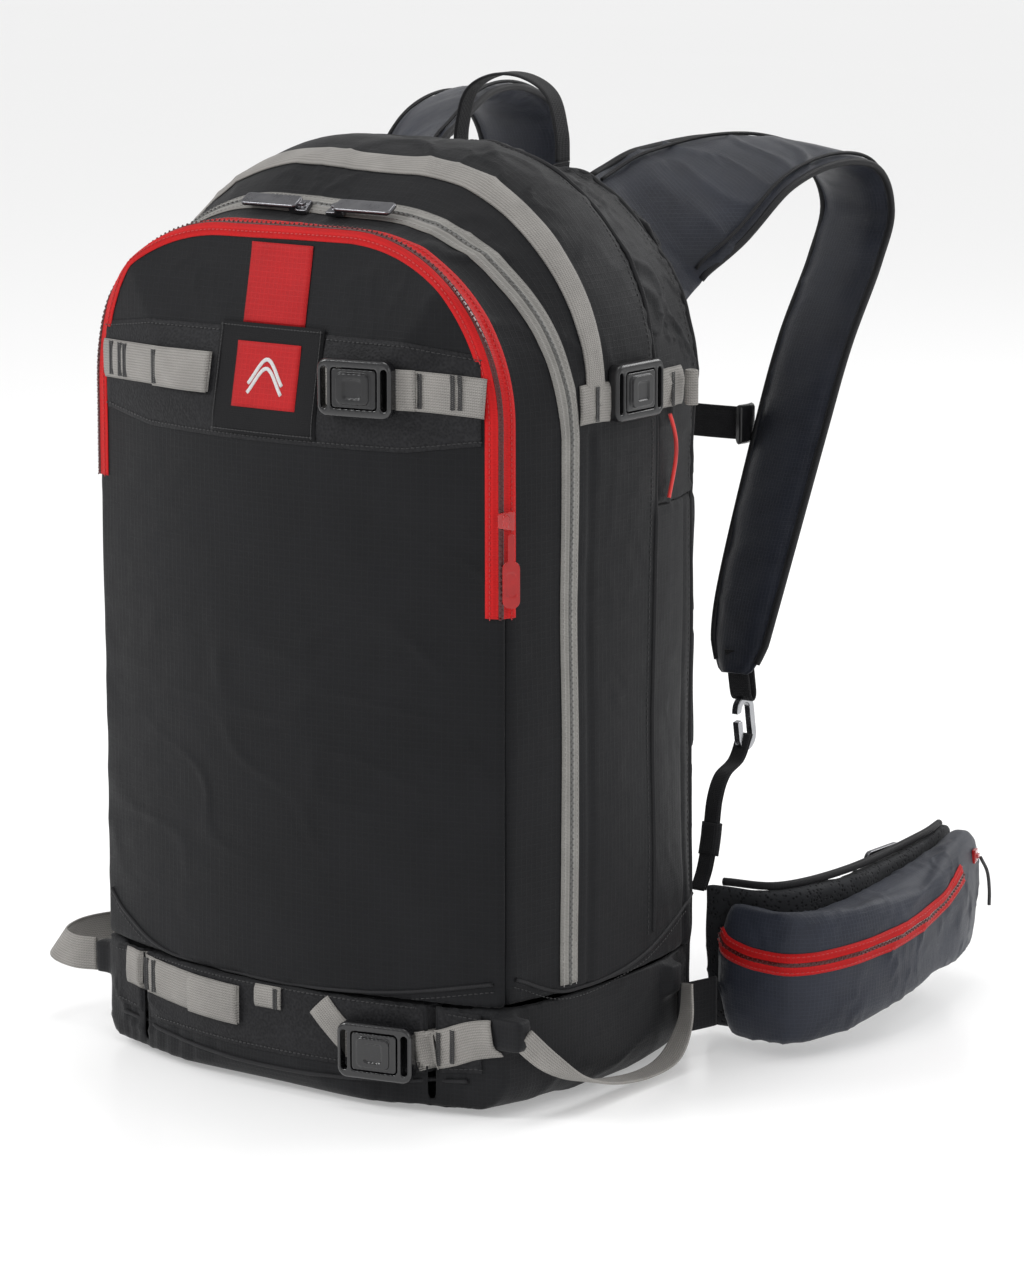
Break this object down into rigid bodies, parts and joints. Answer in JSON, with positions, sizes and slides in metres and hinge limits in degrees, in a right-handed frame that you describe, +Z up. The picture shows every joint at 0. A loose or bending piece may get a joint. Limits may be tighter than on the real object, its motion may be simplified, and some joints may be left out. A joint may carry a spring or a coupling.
{
  "type": "avalanche airbag backpack",
  "caption": "Ski backpack that holds a folded avalanche airbag and its gas cylinder, with a curved front pocket, buckled ski straps, padded shoulder straps and a hip belt.",
  "frame": {"origin": "centre of the base pad's underside, on the surface that the pack stands on", "axes": "+Z up, -Y towards the front pocket, +Y towards the wearer, +X towards the wearer's right"},
  "size_m": [0.458, 0.4705, 0.5618],
  "materials": {
    "shell_fabric": "black ripstop, coated, slightly glossy",
    "boot_fabric": "heavier black weave",
    "patch_fabric": "pebbled reinforcement fabric",
    "red_tape": "red zip tape and ripstop",
    "grey_tape": "grey zip tape",
    "grey_webbing": "ribbed grey webbing",
    "black_webbing": "ribbed black webbing",
    "strap_fabric": "dark navy satin fabric over foam",
    "pocket_fabric": "slate navy stretch fabric",
    "panel_foam": "moulded foam under mesh",
    "black_plastic": "moulded acetal, satin",
    "red_plastic": "moulded red pull",
    "sheet_plastic": "polyethylene sheet",
    "steel": "polished steel",
    "gunmetal": "dark plated zinc",
    "alloy": "machined",
    "red_cord": "braided cord",
    "airbag_cloth": "folded coated nylon"
  },
  "bodies": {
    "pack": {"main_bag": "shell_fabric", "base_boot": "boot_fabric", "base_pad": "boot_fabric", "front_pocket": "shell_fabric", "airbag_cover": "shell_fabric", "back_panel": "panel_foam", "frame_sheet": "sheet_plastic", "frame_stays": "alloy", "front_zip_tape": "red_tape", "main_zip_tape": "grey_tape", "badge_patch": "patch_fabric", "red_stripe": "red_tape", "strap_patches": "patch_fabric", "upper_strap": "grey_webbing", "lower_strap": "grey_webbing", "top_strap": "grey_webbing", "side_straps": "grey_webbing", "upper_buckle_frame": "black_plastic", "lower_buckle_frame": "black_plastic", "side_buckle_frames": "black_plastic", "inflator_head": "alloy", "folded_airbag": "airbag_cloth", "trigger_cable": "black_plastic", "hip_stabilizers": "black_webbing", "side_cord": "red_cord", "lower_webbing": "black_webbing"},
    "front_zip_slider": {"front_zip_slider": "red_plastic"},
    "front_zip_pull": {"front_zip_pull": "red_plastic"},
    "main_zip_slider_right": {"main_zip_slider_right": "gunmetal"},
    "main_zip_slider_left": {"main_zip_slider_left": "gunmetal"},
    "upper_buckle_hook": {"upper_buckle_hook": "black_plastic"},
    "lower_buckle_hook": {"lower_buckle_hook": "black_plastic"},
    "side_buckle_hook_right": {"side_buckle_hook_right": "black_plastic"},
    "side_buckle_hook_left": {"side_buckle_hook_left": "black_plastic"},
    "shoulder_strap_right": {"shoulder_strap_right": "strap_fabric"},
    "shoulder_strap_left": {"shoulder_strap_left": "strap_fabric", "trigger_pouch": "strap_fabric"},
    "sternum_right": {"sternum_strap_right": "black_webbing", "sternum_buckle_female": "black_plastic"},
    "sternum_left": {"sternum_strap_left": "black_webbing", "sternum_buckle_male": "black_plastic"},
    "strap_hook_right": {"strap_hook_right": "steel"},
    "strap_hook_left": {"strap_hook_left": "steel"},
    "hip_wing_right": {"hip_wing_right": "strap_fabric", "hip_pocket_right": "pocket_fabric"},
    "hip_wing_left": {"hip_wing_left": "strap_fabric", "hip_pocket_left": "pocket_fabric", "leg_strap": "black_webbing"},
    "hip_zip_slider_right": {"hip_zip_slider_right": "red_plastic"},
    "hip_zip_slider_left": {"hip_zip_slider_left": "red_plastic"},
    "hip_web_right": {"hip_web_right": "black_webbing", "hip_buckle_hook": "alloy"},
    "hip_web_left": {"hip_web_left": "black_webbing", "hip_buckle_loop": "alloy"},
    "haul_loop": {"haul_loop": "black_webbing"},
    "ski_loop_right": {"ski_loop_right": "grey_webbing"},
    "ski_loop_left": {"ski_loop_left": "grey_webbing"},
    "trigger_handle": {"trigger_handle": "red_plastic"},
    "firing_pin": {"firing_pin": "steel"},
    "gas_cylinder": {"gas_cylinder": "alloy"}
  },
  "joints": [
    {"name": "front_zip_slide", "type": "slide", "parent": "pack", "child": "front_zip_slider", "axis": [0, 0, 1], "range_m": [0, 0.045]},
    {"name": "front_pull_hinge", "type": "hinge", "parent": "front_zip_slider", "child": "front_zip_pull", "pos_m": [0.1498, -0.0774, 0.3315], "axis": [-0.766, -0.6428, 0], "range_deg": [0, 75]},
    {"name": "main_zip_right_slide", "type": "slide", "parent": "pack", "child": "main_zip_slider_right", "axis": [1, 0, 0], "range_m": [0, 0.03]},
    {"name": "main_zip_left_slide", "type": "slide", "parent": "pack", "child": "main_zip_slider_left", "axis": [-1, 0, 0], "range_m": [0, 0.03]},
    {"name": "upper_buckle_hinge", "type": "hinge", "parent": "pack", "child": "upper_buckle_hook", "pos_m": [0.07993, -0.10788, 0.408], "axis": [0, 0, 1], "range_deg": [0, 50]},
    {"name": "lower_buckle_hinge", "type": "hinge", "parent": "pack", "child": "lower_buckle_hook", "pos_m": [0.09017, -0.10594, 0.035], "axis": [0, 0, 1], "range_deg": [0, 50]},
    {"name": "side_buckle_right_hinge", "type": "hinge", "parent": "pack", "child": "side_buckle_hook_right", "pos_m": [0.1649, 0.038, 0.4], "axis": [0, 0, 1], "range_deg": [0, 50]},
    {"name": "side_buckle_left_hinge", "type": "hinge", "parent": "pack", "child": "side_buckle_hook_left", "pos_m": [-0.1649, 0.038, 0.4], "axis": [0, 0, -1], "range_deg": [0, 50]},
    {"name": "shoulder_right_hinge", "type": "hinge", "parent": "pack", "child": "shoulder_strap_right", "pos_m": [0, 0.137, 0.48], "axis": [1, 0, 0], "range_deg": [-5, 12], "deforming": ["lower_webbing"]},
    {"name": "shoulder_left_hinge", "type": "hinge", "parent": "pack", "child": "shoulder_strap_left", "pos_m": [0, 0.137, 0.48], "axis": [1, 0, 0], "range_deg": [-5, 12]},
    {"name": "sternum_right_slide", "type": "slide", "parent": "shoulder_strap_right", "child": "sternum_right", "axis": [0, -0.46, -0.8879], "range_m": [-0.025, 0.025]},
    {"name": "sternum_left_slide", "type": "slide", "parent": "shoulder_strap_left", "child": "sternum_left", "axis": [0, -0.46, -0.8879], "range_m": [-0.025, 0.025]},
    {"name": "strap_hook_right_hinge", "type": "hinge", "parent": "shoulder_strap_right", "child": "strap_hook_right", "pos_m": [0.128, 0.187, 0.193], "axis": [1, 0, 0], "range_deg": [-20, 20]},
    {"name": "strap_hook_left_hinge", "type": "hinge", "parent": "shoulder_strap_left", "child": "strap_hook_left", "pos_m": [-0.128, 0.187, 0.193], "axis": [1, 0, 0], "range_deg": [-20, 20]},
    {"name": "hip_wing_right_hinge", "type": "hinge", "parent": "pack", "child": "hip_wing_right", "pos_m": [0.133, 0.139, 0.045], "axis": [0, 0, 1], "range_deg": [-15, 8], "deforming": ["hip_stabilizers"]},
    {"name": "hip_wing_left_hinge", "type": "hinge", "parent": "pack", "child": "hip_wing_left", "pos_m": [-0.133, 0.139, 0.045], "axis": [0, 0, -1], "range_deg": [-15, 8]},
    {"name": "hip_zip_right_slide", "type": "slide", "parent": "hip_wing_right", "child": "hip_zip_slider_right", "axis": [0.295, -0.9555, 0], "range_m": [0, 0.035]},
    {"name": "hip_zip_left_slide", "type": "slide", "parent": "hip_wing_left", "child": "hip_zip_slider_left", "axis": [-0.295, -0.9555, 0], "range_m": [0, 0.035]},
    {"name": "hip_web_right_hinge", "type": "hinge", "parent": "hip_wing_right", "child": "hip_web_right", "pos_m": [0.1785, 0.3475, 0.062], "axis": [0, 0, 1], "range_deg": [-60, 0]},
    {"name": "hip_web_left_hinge", "type": "hinge", "parent": "hip_wing_left", "child": "hip_web_left", "pos_m": [-0.1785, 0.3475, 0.062], "axis": [0, 0, -1], "range_deg": [-60, 0]},
    {"name": "haul_loop_hinge", "type": "hinge", "parent": "pack", "child": "haul_loop", "pos_m": [0, 0.129, 0.513], "axis": [1, 0, 0], "range_deg": [-30, 30]},
    {"name": "ski_loop_right_hinge", "type": "hinge", "parent": "pack", "child": "ski_loop_right", "pos_m": [0.161, 0, 0.052], "axis": [0, -1, 0], "range_deg": [0, 15]},
    {"name": "ski_loop_left_hinge", "type": "hinge", "parent": "pack", "child": "ski_loop_left", "pos_m": [-0.1612, 0, 0.035], "axis": [0, -1, 0], "range_deg": [0, 30]},
    {"name": "trigger_slide", "type": "slide", "parent": "shoulder_strap_left", "child": "trigger_handle", "axis": [0, -0.4512, -0.8924], "range_m": [0, 0.05]},
    {"name": "firing_pin_slide", "type": "slide", "parent": "pack", "child": "firing_pin", "axis": [0, 0, 1], "range_m": [0, 0.005]},
    {"name": "cylinder_screw", "type": "hinge", "parent": "pack", "child": "gas_cylinder", "pos_m": [-0.078, 0.066, 0.084], "axis": [0, 0, 1], "continuous": true}
  ],
  "couplings": [
    {"joint": "shoulder_left_hinge", "follows": "shoulder_right_hinge", "ratio": 1},
    {"joint": "sternum_left_slide", "follows": "sternum_right_slide", "ratio": 1},
    {"joint": "firing_pin_slide", "follows": "trigger_slide", "ratio": 0.1}
  ]
}
